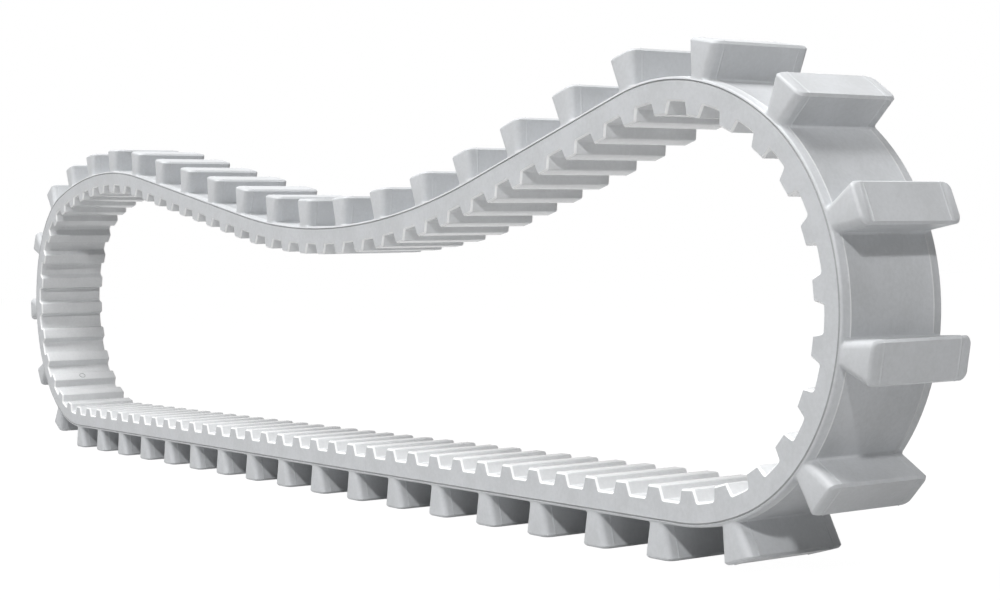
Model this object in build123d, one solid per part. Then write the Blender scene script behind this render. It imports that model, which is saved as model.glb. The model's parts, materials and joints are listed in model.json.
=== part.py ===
from build123d import *
import math
import os

# Endless moulded rubber drive track: a toothed carcass with tension cords moulded in, and a tread of
# outer ply and lugs bonded round it. It lies on its ground run, bent round both ends, with a slack top run.
# The band is cut at tooth grooves into rigid segments, so that each groove between them can hinge.
# Units are millimetres. +X runs along the ground run, +Y across the width, +Z up.

# --- driving dimensions -------------------------------------------------------------------------
tooth_pitch = 10.0          # along the cords
tooth_count = 90
belt_width = 22.0
tooth_height = 2.4
tooth_root = 5.4            # tooth thickness where it meets the groove floor
tooth_crest = 3.6
carcass_back = 3.8          # groove floor to the joint with the tread
tread_ply = 0.6
cord_depth = 1.25           # groove floor to the cords' centre
cord_diameter = 1.0
cord_count = 6
cord_spacing = 3.4
cord_clearance = 0.02       # all round each cord in its channel
channel_overrun = 0.5       # channels are cut this far past the end faces

teeth_per_lug = 2
lug_height = 6.8
lug_root = 4.5
lug_tip = 7.7
lug_tip_chamfer = 0.8
lug_corner_radius = 1.8
lug_sink = 0.3              # how far a lug's foot reaches into the ply

hinge_clearance = 0.15      # each side of a hinge, at the cords
hinge_relief = 3.0          # degrees, each side, opening away from the cords
open_clearance = 0.9        # each side of the one pivot that is left open
cord_end_clearance = 0.1    # extra, so cord ends stay inside the rubber

# --- the loop: (cord radius, turn in degrees) for an arc, None for a straight ---------------------
loop_shape = [
    (50.0, 21.0),           # right bend, lower part
    (35.0, 123.5),          # right bend
    (49.0, 48.5),           # right shoulder
    None,
    (286.0, -24.3),         # sag of the top run
    None,
    (173.0, 25.2),          # left shoulder
    (36.0, 128.0),          # left bend
    (41.0, 38.1),           # left bend, lower part
    None,                   # ground run
]
loop_start_x = 163.2        # where the right bend leaves the ground run; it centres the loop on X = 0
groove_phase = -1.8         # groove 0, measured along the cords from the loop's start

# Grooves at which the band is cut. The last segment is the ground run, back round to groove 0.
segment_ends = [0, 4, 8, 12, 16, 20, 22, 24, 26, 28, 30, 32, 34, 36, 40, 43, 47, 51, 55, 59, 90]
open_groove = 40

# --- derived sizes -------------------------------------------------------------------------------
loop_length = tooth_pitch * tooth_count
back = carcass_back + tread_ply
cord_level = lug_height + back - cord_depth


def straight_lengths():
    """The three straights that close the loop at its full length."""
    heading = x = z = arcs = 0.0
    headings = []
    for item in loop_shape:
        if item is None:
            headings.append(heading)
            continue
        radius, turn = item[0], math.radians(item[1])
        side = math.copysign(radius, turn)
        x += side * (math.sin(heading + turn) - math.sin(heading))
        z += side * (math.cos(heading) - math.cos(heading + turn))
        arcs += radius * abs(turn)
        heading += turn
    # The ground run heads along +X, so the other two straights solve a pair of equations.
    first, second = headings[0], headings[1]
    spare = loop_length - arcs
    a, b, c = math.cos(first) - 1, math.cos(second) - 1, -x - spare
    d, e, f = math.sin(first), math.sin(second), -z
    top_right = (c * e - b * f) / (a * e - b * d)
    top_left = (a * f - c * d) / (a * e - b * d)
    return [top_right, top_left, spare - top_right - top_left]


def loop_sections():
    """Each section of the cord line: place along the loop, length, curvature, start point and heading."""
    straights = straight_lengths()
    sections = []
    along, x, z, heading = 0.0, loop_start_x, cord_level, 0.0
    for item in loop_shape:
        turn = math.radians(item[1]) if item else 0.0
        length = item[0] * abs(turn) if item else straights.pop(0)
        sections.append((along, length, turn / length, x, z, heading))
        x, z, heading = move_along(sections[-1], length)
        along += length
    return sections


def move_along(section, distance):
    """The point and heading at a distance into a section."""
    _, _, curvature, x, z, heading = section
    if curvature == 0.0:
        return x + distance * math.cos(heading), z + distance * math.sin(heading), heading
    turned = heading + curvature * distance
    x += (math.sin(turned) - math.sin(heading)) / curvature
    z += (math.cos(heading) - math.cos(turned)) / curvature
    return x, z, turned


loop = loop_sections()


def band_point(along, height):
    """A point (x, z) at a place along the loop, and a height out from the groove floor."""
    along %= loop_length
    section = [s for s in loop if s[0] <= along + 1e-9][-1]
    x, z, heading = move_along(section, along - section[0])
    out = height - cord_depth
    return x + out * math.sin(heading), z - out * math.cos(heading)


def band_plane(along, height=0.0):
    """A plane on the band: X along the loop, Z out of the belt, origin at mid-width."""
    x, z = band_point(along, height)
    ahead_x, ahead_z = band_point(along, height + 1.0)
    outward = Vector(ahead_x - x, 0, ahead_z - z)
    return Plane(origin=(x, 0, z), x_dir=Vector(-outward.Z, 0, outward.X), z_dir=outward)


def band_run(start, end, height):
    """The line along the belt at one height, as straight and round edges in the (x, z) sketch plane."""
    breaks = [s[0] + turn * loop_length for turn in (0, 1) for s in loop]
    stops = [start] + [b for b in breaks if start + 1e-6 < b < end - 1e-6] + [end]
    edges = []
    for a, b in zip(stops, stops[1:]):
        middle = (a + b) / 2
        section = [s for s in loop if s[0] <= middle % loop_length][-1]
        if section[2] == 0.0:
            edges.append(Line(band_point(a, height), band_point(b, height)))
        else:
            edges.append(ThreePointArc(*(band_point(p, height) for p in (a, middle, b))))
    return edges


def cut_offset(groove, height):
    """Half the gap between two segments at a groove, at a height."""
    if groove % tooth_count == open_groove:
        return open_clearance
    return hinge_clearance + abs(height - cord_depth) * math.tan(math.radians(hinge_relief))


def cut_points(groove, side, heights):
    """Points down a segment's end face. Side is +1 after the groove, -1 before it."""
    place = groove_phase + groove * tooth_pitch
    return [band_point(place + side * cut_offset(groove, h), h) for h in heights]


def segment_run(first, last, height):
    """Where a segment starts and ends along the loop, at a height."""
    start = groove_phase + first * tooth_pitch + cut_offset(first, height)
    end = groove_phase + last * tooth_pitch - cut_offset(last, height)
    return start, end


def joined(points):
    """Straight edges from point to point."""
    return [Line(*pair) for pair in zip(points, points[1:])]


def strip(first, last, inner_edges, heights):
    """A slab across the belt's width: inner edges, both end faces and the outer run between two grooves."""
    edges = inner_edges + band_run(*segment_run(first, last, heights[-1]), heights[-1])
    edges += joined(cut_points(first, 1, heights)) + joined(cut_points(last, -1, heights))
    return extrude(Plane.XZ * make_face(edges), amount=belt_width / 2, both=True)


def toothed_edges(first, last):
    """The inner side of the carcass between two grooves: groove floors and drive teeth."""
    floor_start, floor_end = segment_run(first, last, 0)
    edges = []
    for tooth in range(first, last):
        centre = groove_phase + (tooth + 0.5) * tooth_pitch
        feet = [centre - tooth_root / 2, centre + tooth_root / 2]
        on_tooth = band_plane(centre)
        crest_ends = (-tooth_crest / 2, tooth_crest / 2)
        crest = [on_tooth.from_local_coords((x, 0, -tooth_height)) for x in crest_ends]
        corners = [band_point(feet[0], 0)] + [(p.X, p.Z) for p in crest] + [band_point(feet[1], 0)]
        edges += band_run(floor_start, feet[0], 0) + joined(corners)
        floor_start = feet[1]
    return edges + band_run(floor_start, floor_end, 0)


def cord_rods(first, last, diameter, end_inset):
    """The parallel cords of one segment, or the channels for them."""
    start, end = segment_run(first, last, cord_depth)
    path = Wire([Plane.XZ * edge for edge in band_run(start + end_inset, end - end_inset, cord_depth)])
    start_plane = band_plane(start + end_inset, cord_depth)
    section = Plane(origin=start_plane.origin, z_dir=start_plane.x_dir) * Circle(diameter / 2)
    rod = sweep(section, path=path)
    places = [(i - (cord_count - 1) / 2) * cord_spacing for i in range(cord_count)]
    return [Pos(0, y, 0) * rod for y in places]


def make_lug():
    """One tread lug on its own base plane: X along the belt, Z out, foot on the outer face."""
    flare = (lug_tip - lug_root) / 2 / lug_height
    foot = lug_root / 2 - flare * lug_sink
    left = [(-foot, -lug_sink), (-lug_tip / 2, lug_height)]
    right = [(lug_tip / 2, lug_height), (foot, -lug_sink)]
    outline = Polyline(*left, *right, close=True)
    lug = extrude(Plane.XZ * make_face(outline), amount=belt_width / 2, both=True)
    corners = [edge for edge in lug.edges() if abs(edge.tangent_at(0.5).Z) > 0.9]
    lug = fillet(corners, lug_corner_radius)
    tip_edges = lug.edges().filter_by(Axis.Y).group_by(Axis.Z)[-1]
    return chamfer(tip_edges, lug_tip_chamfer)


def make_carcass(first, last):
    """Drive teeth and back of one segment, with a channel for each cord."""
    body = strip(first, last, toothed_edges(first, last), (0, cord_depth, carcass_back))
    for channel in cord_rods(first, last, cord_diameter + 2 * cord_clearance, -channel_overrun):
        body -= channel
    return body


def make_tread(first, last, lug):
    """Outer ply of one segment with the lugs that stand on it."""
    inner_edges = band_run(*segment_run(first, last, carcass_back), carcass_back)
    tread = strip(first, last, inner_edges, (carcass_back, back))
    for tooth in range(first, last):
        if tooth % teeth_per_lug == 1:
            tread += band_plane(groove_phase + (tooth + 0.5) * tooth_pitch, back) * lug
    return tread


def make_cords(first, last):
    """The cords of one segment."""
    return Compound(children=cord_rods(first, last, cord_diameter, cord_end_clearance))


os.makedirs("parts", exist_ok=True)
lug = make_lug()
for number, (first, last) in enumerate(zip(segment_ends, segment_ends[1:]), start=1):
    name = "ground_run" if last == tooth_count else f"segment_{number:02d}"
    export_step(make_carcass(first, last), f"parts/{name}_carcass.step")
    export_step(make_tread(first, last, lug), f"parts/{name}_tread.step")
    export_step(make_cords(first, last), f"parts/{name}_cords.step")
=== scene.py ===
"""The looks of an endless rubber drive track, built round its CAD frame.

Lengths are in millimetres until a mesh is made. Meshes are in metres, in the CAD frame:
+X along the ground run, +Y across the belt, +Z up. "Along" is a distance round the loop on the cord line,
and "height" is a distance out of the belt from the groove floor.
"""
import json
import math

import bmesh
import bpy
import numpy as np
from mathutils import Matrix, Vector

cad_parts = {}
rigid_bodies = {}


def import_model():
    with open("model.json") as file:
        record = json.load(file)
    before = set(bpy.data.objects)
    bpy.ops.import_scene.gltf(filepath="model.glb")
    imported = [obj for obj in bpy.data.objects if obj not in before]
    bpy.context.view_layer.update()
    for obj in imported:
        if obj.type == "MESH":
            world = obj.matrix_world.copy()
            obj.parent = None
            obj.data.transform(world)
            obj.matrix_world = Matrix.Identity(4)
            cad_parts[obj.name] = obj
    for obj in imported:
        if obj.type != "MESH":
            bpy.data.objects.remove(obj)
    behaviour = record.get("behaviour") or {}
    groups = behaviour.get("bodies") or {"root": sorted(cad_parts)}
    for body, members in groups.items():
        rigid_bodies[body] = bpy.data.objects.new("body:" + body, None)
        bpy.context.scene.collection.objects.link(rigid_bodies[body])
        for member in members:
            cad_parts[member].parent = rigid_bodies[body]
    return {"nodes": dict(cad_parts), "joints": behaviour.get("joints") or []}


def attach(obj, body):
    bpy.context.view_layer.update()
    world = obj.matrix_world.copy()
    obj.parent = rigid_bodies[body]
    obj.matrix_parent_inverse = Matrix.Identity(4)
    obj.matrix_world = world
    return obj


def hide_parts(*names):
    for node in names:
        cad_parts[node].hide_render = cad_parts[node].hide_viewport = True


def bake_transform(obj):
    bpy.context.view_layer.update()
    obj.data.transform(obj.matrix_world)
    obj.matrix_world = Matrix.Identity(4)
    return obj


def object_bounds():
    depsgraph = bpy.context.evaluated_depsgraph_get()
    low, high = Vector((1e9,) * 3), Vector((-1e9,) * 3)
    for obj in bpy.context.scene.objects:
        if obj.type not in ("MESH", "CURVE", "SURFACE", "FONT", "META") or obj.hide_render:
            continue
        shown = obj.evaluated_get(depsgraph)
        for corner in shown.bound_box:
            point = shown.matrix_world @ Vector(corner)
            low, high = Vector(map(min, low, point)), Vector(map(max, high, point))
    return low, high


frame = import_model()
cad_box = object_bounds()

MM = 0.001
tolerance = 1e-6            # millimetres; places nearer than this are the same

# --- the belt, as in the CAD ----------------------------------------------------------------------
tooth_pitch = 10.0
tooth_count = 90
belt_width = 22.0
tooth_height = 2.4
tooth_root = 5.4
tooth_crest = 3.6
carcass_back = 3.8
tread_ply = 0.6
cord_depth = 1.25
teeth_per_lug = 2
lug_height = 6.8
lug_root = 4.5
lug_tip = 7.7
open_groove = 40
groove_phase = -1.8

# (cord radius, turn in degrees) for an arc, None for a straight
loop_shape = [
    (50.0, 21.0),
    (35.0, 123.5),
    (49.0, 48.5),
    None,
    (286.0, -24.3),
    None,
    (173.0, 25.2),
    (36.0, 128.0),
    (41.0, 38.1),
    None,
]

# --- moulded details ------------------------------------------------------------------------------
crest_radius = 0.4          # tooth corners
root_radius = 0.35
side_bevel = 0.36           # where the toothed side meets the side faces
floor_point = 0.75          # of half a pitch; the groove floor is aimed at this point from a tooth's foot
groove_points = (-1.0, 0.0, 1.0)    # places of points on each groove floor, from its centre
parting_depth = 0.2         # of the vee between carcass and tread
parting_rise = 0.15         # height of the tread's side of that vee
ply_edge_radius = 0.45
ply_edge_steps = 4
belt_line_inset = 1.9       # mould line along the outer face, in from each edge
lug_line_inset = 2.6        # mould line across each lug, in from each end
mould_line_height = 0.09
mould_line_half_width = 0.16
lug_end_inset = 0.1
lug_end_radius = 0.65       # tip edge at the ends
lug_chamfer = 0.5           # tip edge along the long sides
lug_corner_radius = 1.35    # upright corners, between the long sides and the ends
lug_foot_radius = 0.55
lug_sink = 0.4              # how far the lug reaches into the ply
lug_stiff_above = 1.5       # the lug follows the belt's curve 1 mm below this height, and not above it
lug_corner_angles = (90, 75, 60, 45, 30, 15, 0)
lug_foot_angles = (0, 30, 60, 90)
lug_end_angles = (0, 18, 36, 52, 68, 90)
ring_tooth = 54             # a mould mark on the crest of this tooth
ring_across = -0.8
ring_radius = 0.95
ring_thickness = 0.13
ring_steps = 32
ring_sides = 8
sleeve_length = 1.2         # hidden overlap at the open pivot
sleeve_inset = 0.25
tread_steps_per_tooth = 8
crisp_angle = 32.0          # degrees; sharper edges than this are shaded as edges

# --- rubber surface -------------------------------------------------------------------------------
# (scale per metre, detail, roughness) of each noise
cloud_noise = (110.0, 5.0, 0.6)
speck_noise = (1400.0, 3.0, 0.55)
skin_noise = (5200.0, 2.0, 0.5)
speck_share = 0.35          # of specks in the tone; the rest is cloud
skin_share = 0.4            # of skin in the grain; the rest is specks
tone_stops = (0.41, 0.60)   # noise levels of the dark and the light tone
sheen_stops = (0.3, 0.7)
sheen_spread = 0.06         # how far the roughness varies each way
grain_depth = 0.06
rubber_specular = 0.35
subsurface_share = 0.04
subsurface_depth = 1.2

# --- floor, light and camera ----------------------------------------------------------------------
floor_half = 20.0           # metres
floor_bounce = 0.5          # of the light that falls on it, as the object sees it
floor_glow = 0.9            # share of plain white in what the camera sees
floor_white = 1.1           # strength of that white
ambient = 0.05
# (name, place and aim in metres, side in metres, power in watts)
lights = [
    ("overhead", (0.05, -0.25, 0.95), (0.0, 0.0, 0.05), 0.5, 9.5),
    ("right_key", (0.95, -0.6, 0.72), (0.05, 0.0, 0.05), 0.08, 5.4),
    ("left_fill", (-0.45, -0.95, 0.3), (-0.05, 0.0, 0.05), 0.6, 1.2),
]
camera_offset = (246.81, -201.0, 40.95)     # from where the right bend starts, on the cord line
camera_lens = 62.9
camera_azimuth = 58.0       # degrees from looking along +Y
camera_elevation = 0.55
camera_roll = -1.68
clip_range = (0.01, 50.0)   # metres

# --- the loop's centreline ------------------------------------------------------------------------
back = carcass_back + tread_ply
half_width = belt_width / 2
loop_length = tooth_pitch * tooth_count
joints = frame["joints"]
first_hinge = next(j["pos_m"] for j in joints if j["parent"] == "ground_run" and j["pos_m"][0] > 0)
loop_start_x = first_hinge[0] / MM - groove_phase
cord_level = first_hinge[2] / MM


def straight_lengths():
    """The three straights that close the loop at its full length."""
    heading = x = z = arcs = 0.0
    headings = []
    for item in loop_shape:
        if item is None:
            headings.append(heading)
            continue
        radius, turn = item[0], math.radians(item[1])
        side = math.copysign(radius, turn)
        x += side * (math.sin(heading + turn) - math.sin(heading))
        z += side * (math.cos(heading) - math.cos(heading + turn))
        arcs += radius * abs(turn)
        heading += turn
    # The ground run heads along +X, so the other two straights solve a pair of equations.
    spare = loop_length - arcs
    matrix = [[math.cos(h) - 1, math.sin(h)] for h in headings[:2]]
    right, left = np.linalg.solve(np.array(matrix).T, [-x - spare, -z])
    return [right, left, spare - right - left]


def move_along(section, distance):
    """The point and heading at a distance into a section."""
    _, _, curvature, x, z, heading = section
    if curvature == 0.0:
        return x + distance * math.cos(heading), z + distance * math.sin(heading), heading
    turned = heading + curvature * distance
    x += (math.sin(turned) - math.sin(heading)) / curvature
    z += (math.cos(heading) - math.cos(turned)) / curvature
    return x, z, turned


def loop_sections():
    """Each section of the cord line: its place along the loop, length, curvature, start and heading."""
    straights = straight_lengths()
    sections = []
    along, x, z, heading = 0.0, loop_start_x, cord_level, 0.0
    for item in loop_shape:
        turn = math.radians(item[1]) if item else 0.0
        length = item[0] * abs(turn) if item else straights.pop(0)
        sections.append((along, length, turn / length, x, z, heading))
        x, z, heading = move_along(sections[-1], length)
        along += length
    return sections


loop = loop_sections()


def section_at(along):
    """The section of the loop at a place along it, and the distance into that section."""
    along %= loop_length
    section = [s for s in loop if s[0] <= along + tolerance][-1]
    return section, along - section[0]


def band_frame(along, height=0.0):
    """The point (x, z) at a place and height on the band, its forward direction and its outward one."""
    section, into = section_at(along)
    x, z, heading = move_along(section, into)
    forward = np.array([math.cos(heading), math.sin(heading)])
    outward = np.array([math.sin(heading), -math.cos(heading)])
    return np.array([x, z]) + (height - cord_depth) * outward, forward, outward


def groove_place(groove):
    """How far along the loop a groove's centre is. Tooth t lies between grooves t and t + 1."""
    return groove_phase + groove * tooth_pitch


# --- which part of the band each body carries -----------------------------------------------------
def nearest_groove(joint):
    """The groove that a hinge lies in."""
    x, _, z = (c / MM for c in joint["pos_m"])
    gaps = [np.hypot(*(band_frame(groove_place(g), cord_depth)[0] - (x, z))) for g in range(tooth_count)]
    return int(np.argmin(gaps))


cuts = sorted([nearest_groove(j) for j in joints] + [open_groove])
body_names = [f"segment_{n + 1:02d}" for n in range(len(cuts) - 1)] + ["ground_run"]
spans = {name: (a, b) for name, a, b in zip(body_names, cuts, cuts[1:] + [cuts[0] + tooth_count])}


def seam_groove(body):
    """Where the skin of a body is parted: under the lug nearest its middle, or at the open pivot."""
    first, last = spans[body]
    if open_groove in (first, last):
        return float(open_groove)
    lugs = [t + 0.5 for t in range(first, last) if t % teeth_per_lug == 1]
    return min(lugs, key=lambda g: abs(g - (first + last) / 2))


# --- meshes ---------------------------------------------------------------------------------------
def point3(flat, y):
    """A point in metres from a millimetre point (x, z) and a place across the belt."""
    return (flat[0] * MM, y * MM, flat[1] * MM)


def tube_faces(rings, size):
    """Quads between rings of points, and a cap on each end."""
    faces = []
    for r in range(rings - 1):
        for i in range(size):
            k = (i + 1) % size
            faces.append((r * size + i, r * size + k, (r + 1) * size + k, (r + 1) * size + i))
    start = tuple(range(size))
    end = tuple(range((rings - 1) * size, rings * size))
    return faces + [start, end]


def mesh_object(name, points, faces, slots, materials):
    """A closed mesh with outward normals, smooth apart from its crisp edges."""
    mesh = bpy.data.meshes.new(name)
    mesh.from_pydata(points, [], faces)
    mesh.polygons.foreach_set("material_index", slots)
    for material in materials:
        mesh.materials.append(material)
    work = bmesh.new()
    work.from_mesh(mesh)
    bmesh.ops.recalc_face_normals(work, faces=work.faces)
    for face in work.faces:
        face.smooth = True
    for edge in work.edges:
        edge.smooth = edge.calc_face_angle(0.0) < math.radians(crisp_angle)
    work.to_mesh(mesh)
    work.free()
    piece = bpy.data.objects.new(name, mesh)
    bpy.context.scene.collection.objects.link(piece)
    return piece


def skin_object(name, rings, marked, materials):
    """A skin through rings of points. Marked faces and their mirror images have their own material."""
    size = len(rings[0])
    slot_of = marked | {size - 2 - face: slot for face, slot in marked.items()}
    slots = [slot_of.get(face, 0) for _ in range(len(rings) - 1) for face in range(size)]
    points = [p for ring in rings for p in ring]
    return mesh_object(name, points, tube_faces(len(rings), size), slots + [0, 0], materials)


def rounded_corner(before, corner, after, radius, steps=3):
    """Points round a corner of an outline."""
    u = (before - corner) / np.linalg.norm(before - corner)
    v = (after - corner) / np.linalg.norm(after - corner)
    half = math.acos(np.clip(u @ v, -1, 1)) / 2
    centre = corner + (u + v) / np.linalg.norm(u + v) * radius / math.sin(half)
    start = corner + u * radius / math.tan(half) - centre
    end = corner + v * radius / math.tan(half) - centre
    sweep = math.pi - 2 * half
    shares = [math.sin((1 - k / steps) * sweep) / math.sin(sweep) for k in range(steps + 1)]
    return [centre + shares[k] * start + shares[steps - k] * end for k in range(steps + 1)]


def toothed_outline():
    """The inner side of the whole belt: (place along, x, z) for each point, tooth by tooth."""
    rows = []
    for tooth in range(tooth_count):
        centre = groove_place(tooth + 0.5)
        origin, forward, outward = band_frame(centre)
        foot = [band_frame(centre + s * tooth_root / 2)[0] for s in (-1, 1)]
        floor = [band_frame(centre + s * tooth_pitch / 2 * floor_point)[0] for s in (-1, 1)]
        crest = [origin + s * tooth_crest / 2 * forward - tooth_height * outward for s in (-1, 1)]
        points = rounded_corner(floor[0], foot[0], crest[0], root_radius)
        points += rounded_corner(foot[0], crest[0], crest[1], crest_radius)
        points += [origin - tooth_height * outward]
        points += rounded_corner(crest[0], crest[1], foot[1], crest_radius)
        points += rounded_corner(crest[1], foot[1], floor[1], root_radius)
        rows += [(centre + (p - origin) @ forward, *p) for p in points]
        groove = groove_place(tooth + 1)
        rows += [(groove + s, *band_frame(groove + s)[0]) for s in groove_points]
    return np.array(rows)


def offset_points(points, distance):
    """The outline through these points moved into the rubber by a distance, with mitred corners."""
    ahead = np.roll(points, -1, axis=0) - points
    normals = np.stack([ahead[:, 1], -ahead[:, 0]], axis=1)
    normals /= np.linalg.norm(normals, axis=1)[:, None]
    mitre = normals + np.roll(normals, 1, axis=0)
    mitre /= np.linalg.norm(mitre, axis=1)[:, None]
    stretch = np.einsum("ij,ij->i", mitre, normals)
    return points + mitre * (distance / stretch)[:, None]


outline = toothed_outline()
inset_outline = offset_points(outline[:, 1:], side_bevel)


def rows_between(start, end):
    """Indices of the outline's points from one groove number to another, wrapping round the loop."""
    a, b = groove_place(start), groove_place(end)
    places = outline[:, 0]
    picked = []
    for lap in (-loop_length, 0.0, loop_length):
        for i, place in enumerate(places + lap):
            if a - tolerance <= place <= b + tolerance:
                picked.append((place, i))
    return [i for _, i in sorted(picked)]


def carcass_ring(inner, inset, place, shrink=0.0):
    """The carcass's section at one place, from the toothed side round both side faces."""
    low, high = half_width - side_bevel - shrink, half_width - shrink
    outer = [band_frame(place, carcass_back - h - shrink)[0] for h in (parting_depth, 0.0)]
    side = [(inner, low), (inset, high), (outer[0], high), (outer[1], high - parting_depth)]
    return [point3(p, y) for p, y in side] + [point3(p, -y) for p, y in reversed(side)]


def sleeve_ring(place):
    """A section a little smaller than the carcass, hidden inside the neighbour at the open pivot."""
    inner = band_frame(place, sleeve_inset)[0]
    inset = band_frame(place, sleeve_inset + side_bevel)[0]
    return carcass_ring(inner, inset, place, sleeve_inset)


def make_carcass_skin(name, start, end):
    """The carcass from one groove number to another."""
    rings = []
    if start == open_groove:
        seam = groove_place(start)
        rings += [sleeve_ring(seam - sleeve_length), sleeve_ring(seam)]
    for i in rows_between(start, end):
        rings.append(carcass_ring(outline[i, 1:], inset_outline[i], outline[i, 0]))
    # The bevels get the painted edge highlight, the parting vee painted shade, and the toothed side the
    # lighter painted-highlight rubber.
    bevel_face, parting_face, toothed_face = 0, 2, 7
    marked = {bevel_face: 1, parting_face: 2, toothed_face: 3}
    return skin_object(name, rings, marked, [rubber, painted_edge_highlight, parting_shade, painted_highlight_rubber])


def tread_section():
    """Half of the tread's section, from its inner face to the mould line: (height, place across)."""
    line = half_width - belt_line_inset
    rows = [(carcass_back, half_width - parting_depth), (carcass_back + parting_rise, half_width)]
    for step in range(ply_edge_steps + 1):
        angle = math.radians(90 * step / ply_edge_steps)
        across = half_width - ply_edge_radius * (1 - math.cos(angle))
        rows.append((back - ply_edge_radius * (1 - math.sin(angle)), across))
    rows.append((back, line + mould_line_half_width))
    rows.append((back + mould_line_height, line))
    rows.append((back, line - mould_line_half_width))
    return rows


def tread_ring(place, shrink=0.0):
    """The tread ply's section at one place."""
    half = []
    for height, across in tread_section():
        lowered = height - shrink if height > carcass_back else height
        half.append((band_frame(place, lowered)[0], across - shrink))
    return [point3(p, y) for p, y in half] + [point3(p, -y) for p, y in reversed(half)]


def make_tread_skin(name, start, end):
    """The tread's outer ply from one groove number to another."""
    steps = round((end - start) * tread_steps_per_tooth)
    rings = []
    if start == open_groove:
        seam = groove_place(start)
        rings += [tread_ring(seam - sleeve_length, sleeve_inset), tread_ring(seam, sleeve_inset)]
    for step in range(steps + 1):
        rings.append(tread_ring(groove_place(start + (end - start) * step / steps)))
    # The parting vee gets painted shade, and both faces of the mould line the lighter painted-highlight
    # rubber.
    parting_face, line_start = 0, ply_edge_steps + 3
    marked = {parting_face: 2, line_start: 1, line_start + 1: 1}
    return skin_object(name, rings, marked, [rubber, painted_highlight_rubber, parting_shade])


# --- lugs -----------------------------------------------------------------------------------------
def lug_levels():
    """Heights up a lug, each with how far its long sides stand out there and how far its ends stand in."""
    levels = [(-lug_sink, lug_foot_radius, 0.0)]
    for degrees in lug_foot_angles:
        angle = math.radians(degrees)
        stand_out = lug_foot_radius * (1 - math.sin(angle))
        levels.append((lug_foot_radius * (1 - math.cos(angle)), stand_out, 0.0))
    rises = [math.sin(math.radians(degrees)) for degrees in lug_end_angles]
    heights = [lug_height - lug_end_radius * (1 - rise) for rise in rises] + [lug_height - lug_chamfer]
    for height in sorted(heights):
        chamfer = max(0.0, height - (lug_height - lug_chamfer))
        rise = max(0.0, height - (lug_height - lug_end_radius))
        end_inset = lug_end_radius - math.sqrt(max(0.0, lug_end_radius ** 2 - rise ** 2))
        levels.append((height, -chamfer, end_inset))
    return levels


def lug_side(height, stand_out, end_inset):
    """One long side of a lug's section at a height, from one end to the other: (u along, y across)."""
    flare = (lug_tip - lug_root) / 2 / lug_height
    half = lug_root / 2 + flare * max(height, 0.0) + stand_out
    line = half_width - lug_line_inset
    end = half_width - lug_end_inset - end_inset
    corner = min(lug_corner_radius, end - line - 2 * mould_line_half_width)
    rows = []
    for degrees in lug_corner_angles:
        angle = math.radians(degrees)
        rows.append((half - corner * (1 - math.cos(angle)), end - corner * (1 - math.sin(angle))))
    for step in (2, 1, 0, -1, -2):
        rise = mould_line_height if step == 0 else 0.0
        rows.append((half + rise, line + step * mould_line_half_width))
    return rows + [(u, -y) for u, y in reversed(rows)]


def lug_mesh_rows():
    """A lug's points (u along, y across, height) in rings, and its faces."""
    points = []
    line = half_width - lug_line_inset
    levels = lug_levels()
    for height, stand_out, end_inset in levels:
        side = lug_side(height, stand_out, end_inset)
        lift = mould_line_height if height == levels[-1][0] else 0.0
        lifts = [lift if abs(abs(y) - line) < tolerance else 0.0 for _, y in side]
        points += [(u, y, height + up) for (u, y), up in zip(side, lifts)]
        points += [(-u, y, height + up) for (u, y), up in reversed(list(zip(side, lifts)))]
    size = 2 * len(side)
    faces = tube_faces(len(levels), size)[:-2]
    for base in (0, (len(levels) - 1) * size):
        for i in range(len(side) - 1):
            faces.append((base + i, base + i + 1, base + size - 2 - i, base + size - 1 - i))
    return points, faces


lug_points, lug_faces = lug_mesh_rows()


def place_lug(tooth):
    """The lug's points on the belt. Its foot follows the belt's curve; the rest keeps its moulded shape."""
    place = groove_place(tooth + 0.5)
    origin, forward, outward = band_frame(place, back)
    curvature = section_at(place)[0][2]
    # Half the curvature of the belt's outer face, which drops by bend * u * u at u from the lug's middle.
    bend = curvature / (1 + curvature * (back - cord_depth)) / 2
    placed = []
    for u, y, height in lug_points:
        foot_share = min(1.0, max(0.0, lug_stiff_above - height))
        flat = origin + u * forward + (height - bend * u * u * foot_share) * outward
        placed.append(point3(flat, y))
    return placed


def make_lugs(body):
    """All lugs of one body, as one piece of separate solids."""
    first, last = spans[body]
    points, faces = [], []
    for tooth in range(first, last):
        if tooth % teeth_per_lug == 1:
            base = len(points)
            points += place_lug(tooth)
            faces += [tuple(base + i for i in face) for face in lug_faces]
    return mesh_object(f"lugs_{body}", points, faces, [0] * len(faces), [lug_rubber])


def make_mould_ring():
    """A plain ring that the mould left on the crest of one tooth, drawn in the darker rubber of painted
    shade.
    """
    origin, forward, outward = band_frame(groove_place(ring_tooth + 0.5), -tooth_height)
    points, faces = [], []
    for step in range(ring_steps):
        angle = 2 * math.pi * step / ring_steps
        for side in range(ring_sides):
            turn = 2 * math.pi * side / ring_sides
            radius = ring_radius + ring_thickness * math.cos(turn)
            flat = origin + radius * math.cos(angle) * forward - ring_thickness * math.sin(turn) * outward
            points.append(point3(flat, ring_across + radius * math.sin(angle)))
    for step in range(ring_steps):
        for side in range(ring_sides):
            here, ahead = step * ring_sides, (step + 1) % ring_steps * ring_sides
            after = (side + 1) % ring_sides
            faces.append((here + side, here + after, ahead + after, ahead + side))
    return mesh_object("mould_ring", points, faces, [0] * len(faces), [parting_shade])


# --- materials ------------------------------------------------------------------------------------
def node(tree, kind, inputs=None, **settings):
    """A shader node with its settings and its unlinked inputs set."""
    made = tree.nodes.new(kind)
    for key, value in settings.items():
        setattr(made, key, value)
    for key, value in (inputs or {}).items():
        made.inputs[key].default_value = value
    return made


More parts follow.
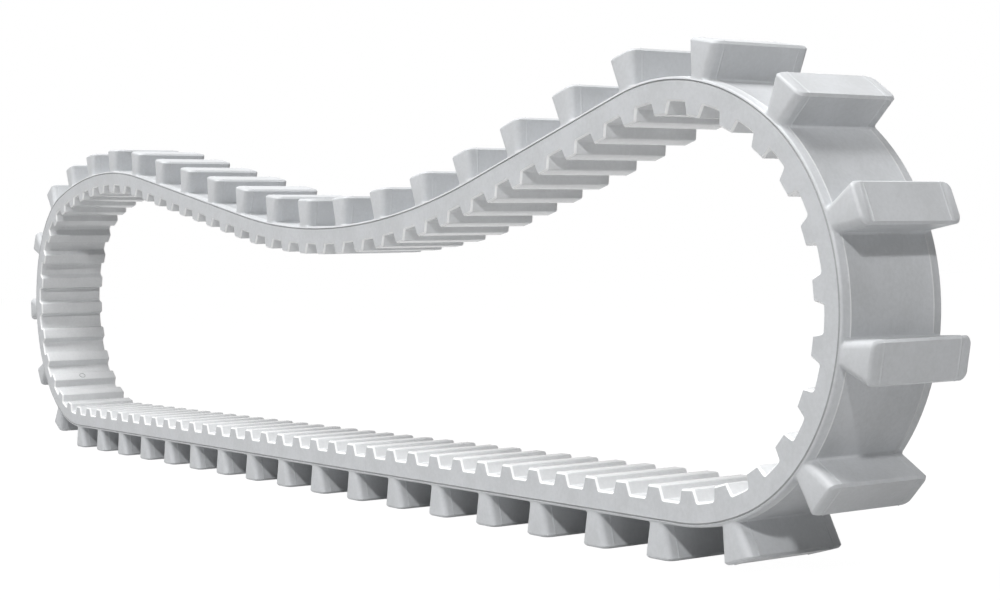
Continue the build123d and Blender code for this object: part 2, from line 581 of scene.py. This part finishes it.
def ramp(tree, source, stops):
    """A ramp between two colours, driven by a value."""
    made = tree.nodes.new("ShaderNodeValToRGB")
    for element, (position, colour) in zip(made.color_ramp.elements, stops):
        element.position = position
        element.color = (*colour, 1.0)
    tree.links.new(source, made.inputs[0])
    return made.outputs[0]


def noise(tree, place, settings):
    """A noise texture at a place, with its scale, detail and roughness."""
    scale, detail, roughness = settings
    made = node(tree, "ShaderNodeTexNoise", {"Scale": scale, "Detail": detail, "Roughness": roughness})
    tree.links.new(place, made.inputs["Vector"])
    return made.outputs["Fac"]


def mixed(tree, first, second, share):
    """Two values mixed, with this share of the second."""
    made = node(tree, "ShaderNodeMix", {"Factor": share}, data_type="FLOAT")
    tree.links.new(first, made.inputs["A"])
    tree.links.new(second, made.inputs["B"])
    return made.outputs["Result"]


def rubber_material(name, light, dark, roughness, grain):
    """Moulded grey rubber: cloudy tone, fine grain, and a dull sheen that varies a little."""
    material = bpy.data.materials.new(name)
    material.use_nodes = True
    tree = material.node_tree
    shader = tree.nodes["Principled BSDF"]
    place = tree.nodes.new("ShaderNodeTexCoord").outputs["Object"]
    cloud = noise(tree, place, cloud_noise)
    speck = noise(tree, place, speck_noise)
    skin = noise(tree, place, skin_noise)
    tone = mixed(tree, cloud, speck, speck_share)
    colour = ramp(tree, tone, zip(tone_stops, (dark, light)))
    tree.links.new(colour, shader.inputs["Base Color"])
    dull, shiny = roughness + sheen_spread, roughness - sheen_spread
    sheen = ramp(tree, cloud, zip(sheen_stops, ((shiny,) * 3, (dull,) * 3)))
    tree.links.new(sheen, shader.inputs["Roughness"])
    bump = node(tree, "ShaderNodeBump", {"Strength": grain, "Distance": grain_depth * MM})
    tree.links.new(mixed(tree, speck, skin, skin_share), bump.inputs["Height"])
    tree.links.new(bump.outputs["Normal"], shader.inputs["Normal"])
    shader.inputs["Specular IOR Level"].default_value = rubber_specular
    shader.inputs["Subsurface Weight"].default_value = subsurface_share
    shader.inputs["Subsurface Radius"].default_value = (subsurface_depth * MM,) * 3
    return material


def cord_material():
    """Twisted fibre cord."""
    material = bpy.data.materials.new("cord_fibre_look")
    material.use_nodes = True
    tree = material.node_tree
    shader = tree.nodes["Principled BSDF"]
    place = tree.nodes.new("ShaderNodeTexCoord").outputs["Object"]
    twist = node(tree, "ShaderNodeTexWave", {"Scale": 900.0, "Distortion": 1.5}, bands_direction="DIAGONAL")
    tree.links.new(place, twist.inputs["Vector"])
    colour = ramp(tree, twist.outputs["Fac"], [(0.2, (0.62, 0.58, 0.46)), (0.8, (0.80, 0.77, 0.66))])
    tree.links.new(colour, shader.inputs["Base Color"])
    shader.inputs["Roughness"].default_value = 0.75
    return material


# name, light tone, dark tone, roughness and strength of the grain
rubber = rubber_material("belt_rubber", (0.665, 0.68, 0.70), (0.60, 0.615, 0.63), 0.42, 0.3)
lug_rubber = rubber_material("lug_rubber", (0.665, 0.68, 0.70), (0.61, 0.625, 0.64), 0.45, 0.3)
# A lighter, glossier copy of the rubber for the toothed side and the tread's mould line. Its lighter colour
# is a painted highlight for the reflections these faces catch.
painted_highlight_rubber = rubber_material("painted_highlight_rubber", (0.78, 0.79, 0.80), (0.72, 0.73, 0.74), 0.2, 0.12)
# A near-white copy of the rubber for the bevels along the teeth's edges: a painted highlight line along
# every edge.
painted_edge_highlight = rubber_material("painted_edge_highlight_rubber", (0.97, 0.975, 0.98), (0.93, 0.935, 0.94), 0.3, 0.1)
# A darker copy of the rubber: painted shade along the parting vee and round the mould ring.
parting_shade = rubber_material("parting_painted_shade_rubber", (0.47, 0.48, 0.49), (0.41, 0.42, 0.43), 0.7, 0.2)
cord_look = cord_material()


# --- skins over the hinges, and pieces on their bodies --------------------------------------------
def cover_hinge(index, groove):
    """The skin of carcass and tread between the seams on both sides of one hinge."""
    before, after = body_names[index - 1], body_names[index]
    start, end = seam_groove(before), seam_groove(after)
    if start > groove:
        start -= tooth_count
    centre, forward, _ = band_frame(groove_place(groove), cord_depth)
    for kind, make in (("carcass", make_carcass_skin), ("tread", make_tread_skin)):
        piece = make(f"{kind}_{before}_to_{after}", start, end)
        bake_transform(piece)
        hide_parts(f"{before}_{kind}", f"{after}_{kind}")


for index, groove in enumerate(cuts):
    if groove != open_groove:
        cover_hinge(index, groove)
for body in body_names:
    lugs = make_lugs(body)
    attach(lugs, body)
    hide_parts(f"{body}_tread")
    cords = frame["nodes"][f"{body}_cords"]
    cords.data.materials.clear()
    cords.data.materials.append(cord_look)
mould_ring = make_mould_ring()
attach(mould_ring, next(body for body, (first, last) in spans.items() if first <= ring_tooth < last))


# --- the studio -----------------------------------------------------------------------------------
def seen_or_mirrored(tree):
    """One for camera rays and for rays that bounce off a sheen, zero for all others."""
    rays = tree.nodes.new("ShaderNodeLightPath")
    either = node(tree, "ShaderNodeMath", operation="MAXIMUM")
    tree.links.new(rays.outputs["Is Camera Ray"], either.inputs[0])
    tree.links.new(rays.outputs["Is Glossy Ray"], either.inputs[1])
    return either.outputs["Value"]


def floor_material():
    """Pale paper: nearly white to the camera, with faint shadows, and a weaker reflector of light."""
    material = bpy.data.materials.new("floor_paper")
    material.use_nodes = True
    tree = material.node_tree
    paper = tree.nodes["Principled BSDF"]
    paper.inputs["Base Color"].default_value = (floor_bounce, floor_bounce, floor_bounce, 1.0)
    paper.inputs["Roughness"].default_value = 1.0
    glow = node(tree, "ShaderNodeEmission", {"Strength": floor_white})
    share = node(tree, "ShaderNodeMath", {1: floor_glow}, operation="MULTIPLY")
    tree.links.new(seen_or_mirrored(tree), share.inputs[0])
    mix = tree.nodes.new("ShaderNodeMixShader")
    tree.links.new(share.outputs["Value"], mix.inputs["Fac"])
    tree.links.new(paper.outputs["BSDF"], mix.inputs[1])
    tree.links.new(glow.outputs["Emission"], mix.inputs[2])
    tree.links.new(mix.outputs["Shader"], tree.nodes["Material Output"].inputs["Surface"])
    return material


def make_floor():
    """A plain pale floor under the lugs."""
    mesh = bpy.data.meshes.new("floor")
    level = cad_box[0].z
    corners = [(x * floor_half, y * floor_half, level) for x, y in ((-1, -1), (1, -1), (1, 1), (-1, 1))]
    mesh.from_pydata(corners, [], [(0, 1, 2, 3)])
    mesh.materials.append(floor_material())
    floor = bpy.data.objects.new("floor", mesh)
    bpy.context.scene.collection.objects.link(floor)


def make_world():
    """White to the camera and in reflections, and a soft even light on everything else."""
    world = bpy.data.worlds.new("studio")
    bpy.context.scene.world = world
    world.use_nodes = True
    tree = world.node_tree
    surface = tree.nodes["Background"]
    strength = node(tree, "ShaderNodeMix", {"A": ambient, "B": 1.0}, data_type="FLOAT")
    tree.links.new(seen_or_mirrored(tree), strength.inputs["Factor"])
    tree.links.new(strength.outputs["Result"], surface.inputs["Strength"])
    surface.inputs["Color"].default_value = (1.0, 1.0, 1.0, 1.0)


def area_light(name, place, aim, size, power):
    """A square soft box at a place in metres, aimed at a point."""
    light = bpy.data.lights.new(name, "AREA")
    light.shape = "SQUARE"
    light.size = size
    light.energy = power
    lamp = bpy.data.objects.new(name, light)
    lamp.location = place
    lamp.rotation_euler = (Vector(aim) - Vector(place)).to_track_quat("-Z", "Y").to_euler()
    bpy.context.scene.collection.objects.link(lamp)


def make_camera():
    """The camera at the viewing angle that the object is shown from."""
    data = bpy.data.cameras.new("camera")
    data.lens = camera_lens
    data.clip_start, data.clip_end = clip_range
    camera = bpy.data.objects.new("camera", data)
    right, front, up = camera_offset
    place = Vector((loop_start_x + right, front, cord_level + up)) * MM
    a, e = math.radians(camera_azimuth), math.radians(camera_elevation)
    toward = Vector((math.sin(a) * math.cos(e), -math.cos(a) * math.cos(e), math.sin(e)))
    turn = toward.to_track_quat("Z", "Y").to_matrix().to_4x4()
    roll = Matrix.Rotation(math.radians(camera_roll), 4, "Z")
    camera.matrix_world = Matrix.Translation(place) @ turn @ roll
    bpy.context.scene.collection.objects.link(camera)
    bpy.context.scene.camera = camera


make_floor()
make_world()
for settings in lights:
    area_light(*settings)
make_camera()
bpy.context.scene.view_settings.view_transform = "Standard"
